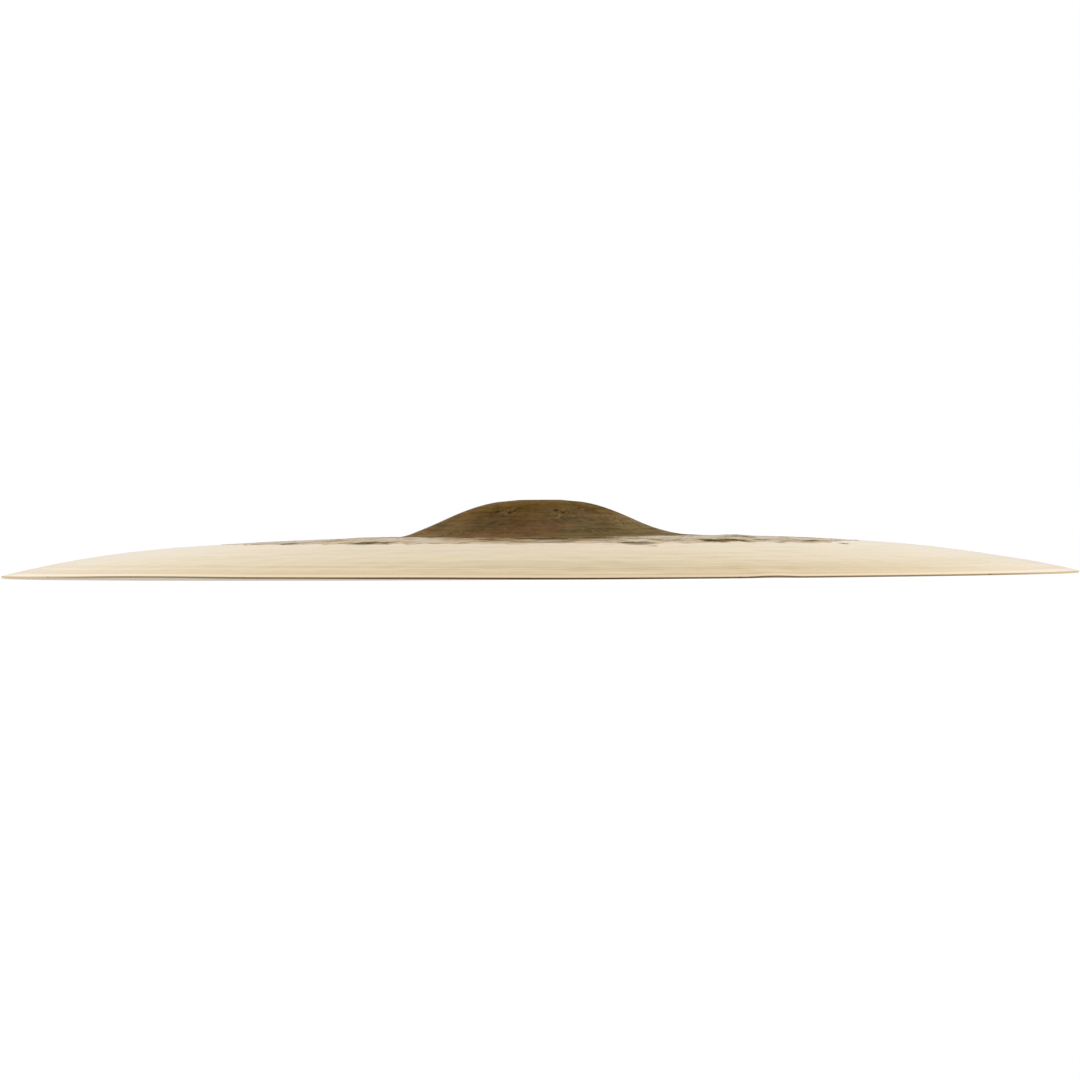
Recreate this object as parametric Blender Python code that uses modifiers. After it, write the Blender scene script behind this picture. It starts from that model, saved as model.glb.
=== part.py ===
"""Crash ride cymbal: one disc of cast bronze, hammered to shape and turned thin on a lathe.

It has a bell in the middle with a hole for the stand's rod, a bow that falls slowly and then faster
towards the rim, and a ground rim that it rests on. The bell and the inner bow keep the raw skin of the
casting. The outer bow is turned bright, a tenth of a millimetre lower.

Run it with blender --background --python part.py, or from Blender's text editor. Metres, +Z up. The
origin is on the hole's axis, in the plane that the rim rests on.
"""

import math

import bpy
from mathutils import Vector

# Across the whole disc: a 20 inch cymbal.
DIAMETER = 0.508
# How far the bow would rise from rim to axis, and how late it turns down (2 is a plain parabola).
BOW_RISE = 0.0178
BOW_POWER = 3.35
# The bell's foot, its height over the bow, and how broad its crown is (1 is a plain cosine wave).
BELL_RADIUS = 0.070
BELL_RISE = 0.0172
BELL_POWER = 1.4
# The hole for the rod's sleeve, with the flat land that seats a felt washer round it on both sides.
HOLE_DIAMETER = 0.012
HOLE_BREAK = 0.0002
LAND_WIDTH = 0.004
# The hammered sheet's thickness at the crown, the bell's foot and the rim, before the lathe's cut.
CROWN_THICKNESS = 0.0015
FOOT_THICKNESS = 0.0014
RIM_THICKNESS = 0.00095
# The raw skin ends at this radius, where the lathe starts to cut.
RAW_RADIUS = 0.146
LATHE_CUT = 0.0001
LATHE_LEAD_IN = 0.0005
# The rim's ground foot, and its two broken corners.
REST_WIDTH = 0.0007
RIM_TOP_BREAK = 0.0003
RIM_FOOT_BREAK = 0.0001

# How finely the profile and the turn are drawn, and the angle past which an edge shows as a corner.
TURN_STEPS = 80
BELL_STATIONS = 11
RAW_BOW_STATIONS = 4
LATHED_BOW_STATIONS = 8
MERGE = 0.000001
CORNER_ANGLE = math.radians(20)

RIM_RADIUS = DIAMETER / 2
HOLE_RADIUS = HOLE_DIAMETER / 2
LAND_RADIUS = HOLE_RADIUS + LAND_WIDTH

# Linear colour, roughness and metallic value of each finish.
RAW_BRONZE = ((0.150, 0.095, 0.040, 1.0), 0.50, 0.60)
TURNED_BRONZE = ((0.790, 0.620, 0.360, 1.0), 0.24, 1.00)


def clear_scene():
    for obj in list(bpy.data.objects):
        bpy.data.objects.remove(obj, do_unlink=True)


def bow_slope(radius):
    """How steeply the bow falls at this radius."""
    return BOW_RISE * BOW_POWER / RIM_RADIUS * (radius / RIM_RADIUS) ** (BOW_POWER - 1)


def bell_slope(radius):
    """How much more steeply the bell falls than the bow under it."""
    if radius >= BELL_RADIUS:
        return 0.0
    share = radius / BELL_RADIUS
    steepness = BELL_RISE / BELL_RADIUS * math.pi / 2 * BELL_POWER * share ** (BELL_POWER - 1)
    return steepness * math.sin(math.pi * share ** BELL_POWER)


def rim_height():
    """The top of the rim before the cut, with the sheet at its rim thickness where the foot begins."""
    slope = bow_slope(RIM_RADIUS)
    return RIM_THICKNESS * math.hypot(1, slope) - slope * REST_WIDTH


def bow_height(radius):
    return rim_height() + BOW_RISE * (1 - (radius / RIM_RADIUS) ** BOW_POWER)


def bell_height(radius):
    """The bell over the bow: a wave that is flat on the crown and flat again at the foot."""
    if radius >= BELL_RADIUS:
        return 0.0
    return BELL_RISE * math.cos(math.pi / 2 * (radius / BELL_RADIUS) ** BELL_POWER) ** 2


def skin_height(radius):
    """The raw top skin. Over the crown it is level out to the land's edge."""
    radius = max(radius, LAND_RADIUS)
    return bow_height(radius) + bell_height(radius)


def thickness(radius):
    if radius <= BELL_RADIUS:
        share = radius / BELL_RADIUS
        return CROWN_THICKNESS + (FOOT_THICKNESS - CROWN_THICKNESS) * share
    share = (radius - BELL_RADIUS) / (RIM_RADIUS - BELL_RADIUS)
    return FOOT_THICKNESS + (RIM_THICKNESS - FOOT_THICKNESS) * share


def depth_below(radius):
    """How far straight down the underside lies, for the sheet's thickness square to its slope."""
    if radius <= LAND_RADIUS:
        return thickness(radius)
    return thickness(radius) * math.hypot(1, bow_slope(radius) + bell_slope(radius))


def steps_between(start, end, count):
    """The radii that cut start..end into count equal steps, with end and without start."""
    return [start + (end - start) * step / count for step in range(1, count + 1)]


def top_profile():
    """(radius, height) points from the hole out to the rim's upper corner."""
    crown = skin_height(LAND_RADIUS)
    points = [(HOLE_RADIUS, crown - HOLE_BREAK), (HOLE_RADIUS + HOLE_BREAK, crown), (LAND_RADIUS, crown)]
    raw = steps_between(LAND_RADIUS, BELL_RADIUS, BELL_STATIONS)
    raw += steps_between(BELL_RADIUS, RAW_RADIUS, RAW_BOW_STATIONS)
    points += [(radius, skin_height(radius)) for radius in raw]
    corner = RIM_RADIUS - RIM_TOP_BREAK
    cut_start = RAW_RADIUS + LATHE_LEAD_IN
    lathed = [cut_start] + steps_between(cut_start, corner, LATHED_BOW_STATIONS)
    points += [(radius, bow_height(radius) - LATHE_CUT) for radius in lathed]
    return points + [(RIM_RADIUS, bow_height(corner) - LATHE_CUT - RIM_TOP_BREAK)]


def underside_profile():
    """(radius, height) points from the rim's foot back in to the hole."""
    foot_start = RIM_RADIUS - REST_WIDTH
    points = [(RIM_RADIUS, RIM_FOOT_BREAK), (RIM_RADIUS - RIM_FOOT_BREAK, 0.0), (foot_start, 0.0)]
    bow = steps_between(foot_start, BELL_RADIUS, LATHED_BOW_STATIONS + RAW_BOW_STATIONS)
    bell = steps_between(BELL_RADIUS, LAND_RADIUS, BELL_STATIONS)
    points += [(radius, skin_height(radius) - depth_below(radius)) for radius in bow + bell]
    inner_crown = skin_height(LAND_RADIUS) - depth_below(LAND_RADIUS)
    return points + [(HOLE_RADIUS + HOLE_BREAK, inner_crown), (HOLE_RADIUS, inner_crown + HOLE_BREAK)]


def make_material(name, finish):
    colour, roughness, metallic = finish
    material = bpy.data.materials.new(name)
    material.use_nodes = True
    shader = material.node_tree.nodes["Principled BSDF"]
    shader.inputs["Base Color"].default_value = colour
    shader.inputs["Roughness"].default_value = roughness
    shader.inputs["Metallic"].default_value = metallic
    material.diffuse_color = colour
    return material


def turned(name, profile, collection):
    """The closed profile swept once round the Z axis, as a mesh object with its Screw applied."""
    mesh = bpy.data.meshes.new(name + "_profile")
    count = len(profile)
    edges = [(index, (index + 1) % count) for index in range(count)]
    mesh.from_pydata([Vector((radius, 0.0, height)) for radius, height in profile], edges, [])
    blank = bpy.data.objects.new(name + "_profile", mesh)
    collection.objects.link(blank)
    screw = blank.modifiers.new("turn", "SCREW")
    screw.axis = "Z"
    screw.steps = screw.render_steps = TURN_STEPS
    screw.use_merge_vertices = True
    screw.merge_threshold = MERGE
    bpy.context.view_layer.update()
    evaluated = blank.evaluated_get(bpy.context.evaluated_depsgraph_get())
    solid = bpy.data.objects.new(name, bpy.data.meshes.new_from_object(evaluated))
    solid.data.name = name
    collection.objects.link(solid)
    bpy.data.objects.remove(blank)
    return solid


def paint_zones(solid):
    """The raw finish inside RAW_RADIUS, on both sides, and the turned finish outside it."""
    solid.data.materials.clear()
    solid.data.materials.append(make_material("raw_bronze", RAW_BRONZE))
    solid.data.materials.append(make_material("turned_bronze", TURNED_BRONZE))
    for face in solid.data.polygons:
        face.material_index = int(face.center.xy.length > RAW_RADIUS)


def make_cymbal(collection):
    cymbal = turned("cymbal", top_profile() + underside_profile(), collection)
    cymbal.data.shade_smooth()
    cymbal.data.set_sharp_from_angle(angle=CORNER_ANGLE)
    paint_zones(cymbal)
    return cymbal


def main():
    clear_scene()
    collection = bpy.data.collections.new("crash_ride_cymbal")
    bpy.context.scene.collection.children.link(collection)
    make_cymbal(collection)


main()
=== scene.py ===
"""Looks of a crash ride cymbal: one hammered disc of cast bronze.

Its bell and inner bow keep the dark skin of the casting, and its outer bow is turned bright on a lathe.
Metres, +Z up. The origin is on the hole's axis, in the plane that the rim rests on.
"""

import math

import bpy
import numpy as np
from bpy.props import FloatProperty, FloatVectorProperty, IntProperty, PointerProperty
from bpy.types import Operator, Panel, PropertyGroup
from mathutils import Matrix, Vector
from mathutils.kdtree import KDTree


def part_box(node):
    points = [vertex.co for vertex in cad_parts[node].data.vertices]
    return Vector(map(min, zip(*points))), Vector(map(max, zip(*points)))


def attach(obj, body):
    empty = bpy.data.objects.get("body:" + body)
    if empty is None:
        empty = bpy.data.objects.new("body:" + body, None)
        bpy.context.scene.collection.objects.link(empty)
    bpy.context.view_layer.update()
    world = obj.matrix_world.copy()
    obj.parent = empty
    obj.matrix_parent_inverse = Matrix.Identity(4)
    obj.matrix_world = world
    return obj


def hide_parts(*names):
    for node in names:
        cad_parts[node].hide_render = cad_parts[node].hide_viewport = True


bl_info = {
    "name": "Crash Ride Cymbal",
    "version": (1, 0, 0),
    "blender": (4, 5, 0),
    "location": "3D View > Sidebar > Cymbal",
    "description": "Models a hammered and turned bronze cymbal, with its floor, lamps and camera",
    "category": "Object",
}

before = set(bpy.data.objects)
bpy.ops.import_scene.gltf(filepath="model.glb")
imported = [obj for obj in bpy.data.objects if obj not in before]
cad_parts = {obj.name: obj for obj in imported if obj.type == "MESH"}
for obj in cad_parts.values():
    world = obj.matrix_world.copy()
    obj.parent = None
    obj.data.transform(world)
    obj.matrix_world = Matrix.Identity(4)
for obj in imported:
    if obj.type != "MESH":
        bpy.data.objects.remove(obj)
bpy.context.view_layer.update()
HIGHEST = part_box("cymbal")[1]

# Small breaks of the hole's and the rim's corners, and the rim's ground foot.
HOLE_BREAK = 0.0002
RIM_TOP_BREAK = 0.0003
RIM_FOOT_BREAK = 0.0001
REST_WIDTH = 0.0007
# The rim's upper corner is rounded through these angles.
RIM_ROUNDING = (math.radians(30), math.radians(60), math.radians(90))

# The plane that a piece starts from, along each side.
START_SIZE = 0.001
# How far apart the rings of the mesh lie on each part of the disc, and the steps round it.
BELL_RING_GAP = 0.002
RAW_RING_GAP = 0.0021
TURNED_RING_GAP = 0.0009
UNDER_RING_GAP = 0.005
ROUND_STEPS = 384
MERGE = 0.000001
CORNER_ANGLE = math.radians(30)

# Inside this radius no part of the top is turned, however ragged the lathe's start is, so the rings lie
# farther apart there.
ALWAYS_RAW_RADIUS = 0.142
# The lathe's start wanders in and out: (waves round the disc, how far, phase).
START_WAVES = ((2, 0.0016, 0.6), (3, 0.0014, 2.1), (7, 0.0008, 0.4), (11, 0.0006, 1.7))
START_MIDDLE = 0.1490
# Tongues of raw skin past the start: (direction, reach, half of their width as an angle).
START_TONGUES = (
    (math.radians(-36), 0.007, math.radians(13)),
    (math.radians(30), 0.004, math.radians(16)),
    (math.radians(112), 0.005, math.radians(14)),
)

# How far out at most the lathe misses the bottom of a deep dent, and how ragged its start is.
MISSED_REACH = 0.0055
START_RAGGEDNESS = 0.0018
# The step down to the turned face comes in over this much on both sides of the start.
CUT_EASE = 0.001

# Rows of hammer dents on the raw bow and on the turned one: how far apart the rows lie, in dent pitches,
# and how broad and how deep the dents are against the raw bow's.
RAW_ROWS = (0.8, 1.0, 1.0)
TURNED_ROWS = (1.2, 1.5, 0.55)
# How far a dent strays from its even place, in steps and dent pitches.
DENT_STRAY = 0.35
# The shares between which the dents' width, depth and polish differ.
DENT_WIDTHS = (0.65, 1.25)
DENT_DEPTHS = (0.25, 1.35)
DENT_POLISH = (-0.3, 1.0)
# How much of a dent's cap counts as polished.
POLISHED_CAP = 0.45
# Where the dents come in past the bell's foot, fade out before the rim, and are smoothed round the start.
DENTS_FROM_FOOT = (-0.004, 0.012)
DENTS_TO_RIM = (-0.012, -0.002)
SMOOTHED_AT_START = (-0.006, 0.010)
# Where the tonal grooves fade out before the rim.
GROOVES_TO_RIM = (-0.004, -0.002)

# The lifts of the rim grow outwards with this power of the radius.
RIM_LIFT_POWER = 4
# The rim isn't quite flat: (direction, lift, half of the width as an angle).
RIM_LIFTS = (
    (math.radians(-146), 0.00055, math.radians(40)),
    (math.radians(-134), 0.00040, math.radians(28)),
    (math.radians(-109), 0.00062, math.radians(26)),
    (math.radians(-133), 0.00036, math.radians(14)),
    (math.radians(-66.2), 0.00038, math.radians(3.3)),
    (math.radians(64), 0.00045, math.radians(38)),
)
# Nor is the hammered sheet quite round: (direction, radius, lift, half of the angle, half of the reach).
SWELLS = (
    (0.0, 0.127, 0.00035, math.radians(85), 0.127),
    (0.0, 0.064, 0.00045, math.radians(85), 0.016),
    (0.0, 0.185, 0.00020, math.radians(50), 0.035),
    (0.0, 0.240, 0.00040, math.radians(50), 0.030),
    (math.pi, 0.122, -0.00035, math.radians(85), 0.060),
    (math.pi, 0.212, 0.00068, math.radians(55), 0.072),
    (math.pi, 0.055, 0.00035, math.radians(80), 0.050),
    (math.pi, 0.0665, -0.00060, math.radians(70), 0.011),
    (0.0, 0.045, -0.00025, math.radians(70), 0.022),
    (0.0, 0.092, 0.00045, math.radians(60), 0.010),
)
# The crown's shoulder is eased by this much, round this radius.
CROWN_EASE = 0.0002
CROWN_EASE_RADIUS = 0.0145
CROWN_EASE_REACH = 0.0065

# Painted shade darkens the skin where the bell meets the bow, round this radius.
BELL_FOOT = 0.0715
# Single dark pits in the bell's skin: (x, y, half of the width).
PITS = (
    (-0.0191, -0.0306, 0.0017),
    (-0.0118, -0.0330, 0.0013),
    (-0.0092, -0.0312, 0.0011),
    (-0.0140, -0.0350, 0.0010),
    (0.0080, -0.0335, 0.0014),
    (0.0108, -0.0352, 0.0011),
    (0.0230, 0.0310, 0.0015),
    (-0.0290, 0.0120, 0.0012),
    (0.0410, 0.0050, 0.0013),
)
# Where the bell's skin is pitted: (x, y, half of the size along x, half of it along y, strength).
PITTED_PATCHES = (
    (-0.018, -0.031, 0.006, 0.005, 1.0),
    (-0.008, -0.032, 0.012, 0.010, 1.0),
    (0.011, -0.037, 0.016, 0.011, 1.0),
    (0.026, -0.018, 0.008, 0.006, 1.0),
    (0.036, -0.029, 0.009, 0.007, 1.0),
    (-0.036, 0.026, 0.020, 0.014, 1.0),
    (0.010, 0.040, 0.024, 0.012, 1.0),
)

# Lighter and darker places on the bell's skin: (x, y, half of the size along x, half of it along y,
# strength).
BELL_TONES = (
    (-0.029, -0.021, 0.015, 0.011, 1.1),
    (-0.043, -0.019, 0.013, 0.010, -0.8),
    (-0.043, -0.036, 0.015, 0.012, 0.7),
    (-0.057, -0.034, 0.014, 0.014, 0.7),
    (-0.028, -0.040, 0.014, 0.011, -0.5),
    (-0.005, -0.022, 0.013, 0.007, 0.7),
    (0.044, -0.031, 0.018, 0.016, 0.6),
)

# Patches of dark scale on the skin, and one of painted shade: (x, y, half of the size along x, half of it
# along y, strength).
SCALE_AND_SHADE_PATCHES = (
    (-0.034, -0.079, 0.020, 0.012, 0.7),
    (-0.006, -0.083, 0.024, 0.012, 0.8),
    (-0.077, -0.118, 0.022, 0.022, 1.0),
    (-0.116, -0.083, 0.010, 0.010, 0.8),
    (-0.125, -0.066, 0.010, 0.011, 0.7),
    (-0.1425, -0.055, 0.006, 0.010, 0.7),
    (-0.153, -0.0435, 0.005, 0.009, 0.6),
    # Painted shade next to the bell's foot, not scale.
    (-0.024, -0.107, 0.014, 0.034, 0.7),
    (0.000, -0.102, 0.032, 0.020, 1.15),
    (0.022, -0.093, 0.018, 0.016, 1.0),
    (0.014, -0.136, 0.011, 0.010, 0.9),
    (0.042, -0.142, 0.023, 0.014, 1.0),
    (0.059, -0.117, 0.020, 0.009, 0.9),
    (0.083, -0.108, 0.021, 0.024, 1.0),
    (0.093, -0.045, 0.018, 0.012, 0.8),
    (-0.057, -0.103, 0.026, 0.014, 0.5),
    (0.1055, -0.089, 0.016, 0.012, 0.5),
    (0.127, -0.075, 0.014, 0.016, 0.8),
    (0.1395, -0.089, 0.0055, 0.009, 1.0),
    (0.051, -0.159, 0.005, 0.005, 0.8),
    (0.188, -0.095, 0.004, 0.005, 0.7),
)
# A patch of scale fades out at this share of its half size.
SCALE_REACH = 1.15
# Round the far half of the disc, more patches are strewn at random: how many, between which directions,
# from how far past the bell's foot, and the ranges of their size, shape and strength.
STREWN_PATCHES = 34
STREWN_DIRECTIONS = (math.radians(-20), math.radians(200))
STREWN_PAST_FOOT = 1.1
STREWN_SIZES = (0.006, 0.026)
STREWN_SHAPES = (0.5, 1.4)
STREWN_STRENGTHS = (0.35, 0.8)


def length(name, description, default):
    return FloatProperty(
        name=name, description=description, default=default, min=0.0, precision=5, unit="LENGTH"
    )


def light_level(name, description, default):
    return FloatProperty(name=name, description=description, default=default, min=0.0)


def colour(name, description, default):
    return FloatVectorProperty(
        name=name, description=description, default=default, size=4, min=0.0, max=1.0, subtype="COLOR"
    )


class CymbalSizes(PropertyGroup):
    diameter: length("Diameter", "Across the whole disc", 2 * HIGHEST.x)
    bow_rise: length("Bow rise", "How far the bow would rise from rim to axis", 0.0178)
    bow_power: FloatProperty(name="Bow power", description="How late the bow turns down", default=3.35)
    bell_radius: length("Bell radius", "From the axis to the foot of the bell", 0.070)
    bell_rise: length("Bell rise", "The bell's height over the bow", 0.0172)
    bell_power: FloatProperty(name="Bell power", description="How broad the bell's crown is", default=1.4)
    hole_diameter: length("Hole", "Across the hole for the stand's rod", 0.012)
    land_width: length("Land", "The level ring round the hole that seats a felt washer", 0.004)
    crown_thickness: length("Crown thickness", "The sheet at the crown", 0.0015)
    foot_thickness: length("Foot thickness", "The sheet at the bell's foot", 0.0014)
    rim_thickness: length("Rim thickness", "The sheet at the rim, before the lathe's cut", 0.00095)
    raw_radius: length("Raw radius", "Where the lathe starts to cut at the least", 0.146)
    lathe_cut: length("Lathe cut", "How much lower the turned face lies than the skin", 0.0001)
    groove_pitch: length("Groove pitch", "From one tonal groove to the next", 0.0036)
    groove_depth: length("Groove depth", "Half the height of a tonal groove", 0.000035)
    dent_depth: length("Dent depth", "How deep a hammer dent is in the raw bow", 0.00046)
    dent_width: length("Dent width", "Across a hammer dent in the raw bow", 0.015)
    dent_pitch: length("Dent pitch", "From one hammer dent to the next", 0.0115)
    seed: IntProperty(name="Seed", description="Picks another scatter of dents and patches", default=7)


class CymbalColours(PropertyGroup):
    skin_gold: colour("Skin, golden", "Raw skin high on the bell", (0.164, 0.101, 0.031, 1.0))
    skin_grey: colour("Skin, grey", "Raw skin low on the bell and on the bow", (0.238, 0.141, 0.074, 1.0))
    skin_olive: colour("Skin, olive", "Raw skin, most of it towards +X", (0.208, 0.161, 0.084, 1.0))
    scale: colour("Scale", "Dark patches and mottles of burnt scale", (0.060, 0.034, 0.014, 1.0))
    fleck: colour("Fleck", "Bare metal in the pits of the skin", (0.420, 0.290, 0.100, 1.0))
    turned_pale: colour("Turned, pale", "The crests of the turned face", (0.880, 0.730, 0.500, 1.0))
    turned_deep: colour("Turned, deep", "The valleys of the turned face", (0.790, 0.600, 0.295, 1.0))
    tarnish: colour("Tarnish", "Long faint streaks on the turned face", (0.790, 0.620, 0.290, 1.0))
    # Painted shade: a warmer, deeper colour inside the rim.
    rim_shade: colour("Rim shade", "A warmer zone inside the rim", (0.800, 0.570, 0.265, 1.0))
    # Painted highlight: a bright colour on the last few millimetres inside the rim.
    rim_highlight: colour("Rim highlight", "The last few millimetres inside the rim", (0.970, 0.745, 0.430, 1.0))
    # The edge's dark colour is partly oxide and partly painted shade, for the dark that the upright edge
    # reflects.
    edge: colour("Edge", "The rim's upright edge and the wall of the hole", (0.088, 0.046, 0.019, 1.0))


class CymbalStage(PropertyGroup):
    floor_colour: colour("Floor", "The pale floor", (0.95, 0.95, 0.95, 1.0))
    floor_size: length("Floor size", "Along each side of the floor", 24.0)
    world_light: light_level("World light", "The world on dull surfaces", 0.75)
    ring_light: light_level("Ring light", "The world's dark ring high up, in gloss", 0.30)
    overhead_light: light_level("Overhead light", "The world's crown, in gloss", 0.55)
    horizon_light: light_level("Horizon light", "The world's foot, in gloss", 0.77)
    camera_distance: length("Camera distance", "From the disc's middle to the camera", 3.0)
    camera_elevation: FloatProperty(
        name="Camera elevation", description="How far the camera looks down on the rim's plane",
        default=math.radians(0.455), subtype="ANGLE",
    )
    camera_roll: FloatProperty(
        name="Camera roll", description="How much higher the disc's right side shows",
        default=math.radians(0.324), subtype="ANGLE",
    )


def bow_slope(sizes, radius):
    """How steeply the bow falls at this radius."""
    rim = sizes.diameter / 2
    return sizes.bow_rise * sizes.bow_power / rim * (radius / rim) ** (sizes.bow_power - 1)


def bell_slope(sizes, radius):
    """How much more steeply the bell falls than the bow under it."""
    if radius >= sizes.bell_radius:
        return 0.0
    share = radius / sizes.bell_radius
    steepness = sizes.bell_rise / sizes.bell_radius * math.pi / 2 * sizes.bell_power
    return steepness * share ** (sizes.bell_power - 1) * math.sin(math.pi * share ** sizes.bell_power)


def rim_height(sizes):
    slope = bow_slope(sizes, sizes.diameter / 2)
    return sizes.rim_thickness * math.hypot(1, slope) - slope * REST_WIDTH


def bow_height(sizes, radius):
    return rim_height(sizes) + sizes.bow_rise * (1 - (2 * radius / sizes.diameter) ** sizes.bow_power)


def land_radius(sizes):
    return sizes.hole_diameter / 2 + sizes.land_width


def skin_height(sizes, radius):
    """The raw top skin, level over the crown out to the land's edge."""
    radius = max(radius, land_radius(sizes))
    if radius >= sizes.bell_radius:
        return bow_height(sizes, radius)
    wave = math.cos(math.pi / 2 * (radius / sizes.bell_radius) ** sizes.bell_power)
    return bow_height(sizes, radius) + sizes.bell_rise * wave ** 2


def thickness(sizes, radius):
    if radius <= sizes.bell_radius:
        share = radius / sizes.bell_radius
        return sizes.crown_thickness + (sizes.foot_thickness - sizes.crown_thickness) * share
    share = (radius - sizes.bell_radius) / (sizes.diameter / 2 - sizes.bell_radius)
    return sizes.foot_thickness + (sizes.rim_thickness - sizes.foot_thickness) * share


def depth_below(sizes, radius):
    """How far straight down the underside lies."""
    if radius <= land_radius(sizes):
        return thickness(sizes, radius)
    return thickness(sizes, radius) * math.hypot(1, bow_slope(sizes, radius) + bell_slope(sizes, radius))


def rings(start, end, gap):
    """Radii about a gap apart from start to end, with end and without start."""
    count = round(abs(end - start) / gap)
    return [start + (end - start) * step / count for step in range(1, count + 1)]


def top_profile(sizes):
    """(radius, height) points from the hole out to the rim's upper corner."""
    hole = sizes.hole_diameter / 2
    land = land_radius(sizes)
    crown = skin_height(sizes, land)
    corner = sizes.diameter / 2 - RIM_TOP_BREAK
    radii = rings(land, sizes.bell_radius, BELL_RING_GAP)
    radii += rings(sizes.bell_radius, ALWAYS_RAW_RADIUS, RAW_RING_GAP)
    radii += rings(ALWAYS_RAW_RADIUS, corner, TURNED_RING_GAP)
    points = [(hole, crown - HOLE_BREAK), (hole + HOLE_BREAK, crown), (land, crown)]
    for radius in radii:
        cut = sizes.lathe_cut if radius > sizes.raw_radius else 0.0
        points.append((radius, skin_height(sizes, radius) - cut))
    return points


def rim_profile(sizes):
    """The rim's rounded upper corner, its upright edge and its ground foot."""
    rim = sizes.diameter / 2
    corner = rim - RIM_TOP_BREAK
    crest = bow_height(sizes, corner) - sizes.lathe_cut
    points = []
    for angle in RIM_ROUNDING:
        drop = RIM_TOP_BREAK * (1 - math.cos(angle))
        points.append((corner + RIM_TOP_BREAK * math.sin(angle), crest - drop))
    return points + [(rim, RIM_FOOT_BREAK), (rim - RIM_FOOT_BREAK, 0.0), (rim - REST_WIDTH, 0.0)]


def underside_profile(sizes):
    """(radius, height) points from the rim's foot back in to the hole."""
    hole = sizes.hole_diameter / 2
    land = land_radius(sizes)
    radii = rings(sizes.diameter / 2 - REST_WIDTH, sizes.bell_radius, UNDER_RING_GAP)
    radii += rings(sizes.bell_radius, land, UNDER_RING_GAP)
    points = [(radius, skin_height(sizes, radius) - depth_below(sizes, radius)) for radius in radii]
    inner_crown = skin_height(sizes, land) - depth_below(sizes, land)
    return points + [(hole + HOLE_BREAK, inner_crown), (hole, inner_crown + HOLE_BREAK)]


def start_piece(name, location):
    """Adds a small plane for a new piece and opens it in edit mode, with nothing else selected."""
    if bpy.context.object and bpy.context.object.mode != "OBJECT":
        bpy.ops.object.mode_set(mode="OBJECT")
    bpy.ops.object.select_all(action="DESELECT")
    bpy.ops.mesh.primitive_plane_add(size=START_SIZE, location=location)
    piece = bpy.context.object
    piece.name = piece.data.name = name
    bpy.ops.object.transform_apply(location=True)
    bpy.ops.object.mode_set(mode="EDIT")
    bpy.ops.mesh.select_mode(type="VERT")
    bpy.ops.mesh.select_all(action="SELECT")
    return piece


def turn_disc(profile):
    """Draws the closed profile by extruding one vertex along it, and spins it once round the Z axis."""
    first = Vector((profile[0][0], 0.0, profile[0][1]))
    disc = start_piece("hammered_cymbal", first)
    bpy.ops.mesh.merge(type="CENTER")
    reached = first
    for radius, height in profile[1:] + profile[:1]:
        point = Vector((radius, 0.0, height))
        bpy.ops.mesh.extrude_region_move(TRANSFORM_OT_translate={"value": point - reached})
        reached = point
    bpy.ops.mesh.select_all(action="SELECT")
    bpy.ops.mesh.remove_doubles(threshold=MERGE)
    bpy.ops.mesh.spin(
        steps=ROUND_STEPS, angle=2 * math.pi, center=(0, 0, 0), axis=(0, 0, 1), use_auto_merge=True
    )
    bpy.ops.mesh.select_all(action="SELECT")
    bpy.ops.mesh.remove_doubles(threshold=MERGE)
    bpy.ops.mesh.normals_make_consistent(inside=False)
    bpy.ops.object.mode_set(mode="OBJECT")
    bpy.ops.object.shade_smooth_by_angle(angle=CORNER_ANGLE)
    return disc


def vertex_places(mesh):
    places = np.empty(len(mesh.vertices) * 3, np.float32)
    mesh.vertices.foreach_get("co", places)
    return places.reshape(-1, 3).astype(float)


def stations_of(places, profile):
    """Which point of the profile each vertex was spun from."""
    tree = KDTree(len(profile))
    for index, (radius, height) in enumerate(profile):
        tree.insert((radius, 0.0, height), index)
    tree.balance()
    radii = np.hypot(places[:, 0], places[:, 1])
    return np.array([tree.find((radius, 0.0, height))[1] for radius, height in zip(radii, places[:, 2])])


def smooth_step(value, low, high):
    share = np.clip((value - low) / (high - low), 0.0, 1.0)
    return share * share * (3 - 2 * share)


def fade_across(radii, middle, reach):
    """From 0 to 1 between two radii that are given from a third."""
    return smooth_step(radii, middle + reach[0], middle + reach[1])


def bump(offset, half_width):
    """A round bump of height 1 that ends smoothly at half_width from its middle."""
    share = np.clip(np.abs(offset) / half_width, 0.0, 1.0)
    return (1 - share * share) ** 2


def turned_from(angles, middle):
    """The angle from a middle direction, between -pi and pi."""
    return np.angle(np.exp(1j * (angles - middle)))


def lathe_start(angles):
    """The radius at which the ragged turned zone begins, in each direction."""
    start = np.full_like(angles, START_MIDDLE)
    for waves, reach, phase in START_WAVES:
        start += reach * np.cos(waves * angles + phase)
    for direction, reach, half_width in START_TONGUES:
        start += reach * bump(turned_from(angles, direction), half_width)
    return start


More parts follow.
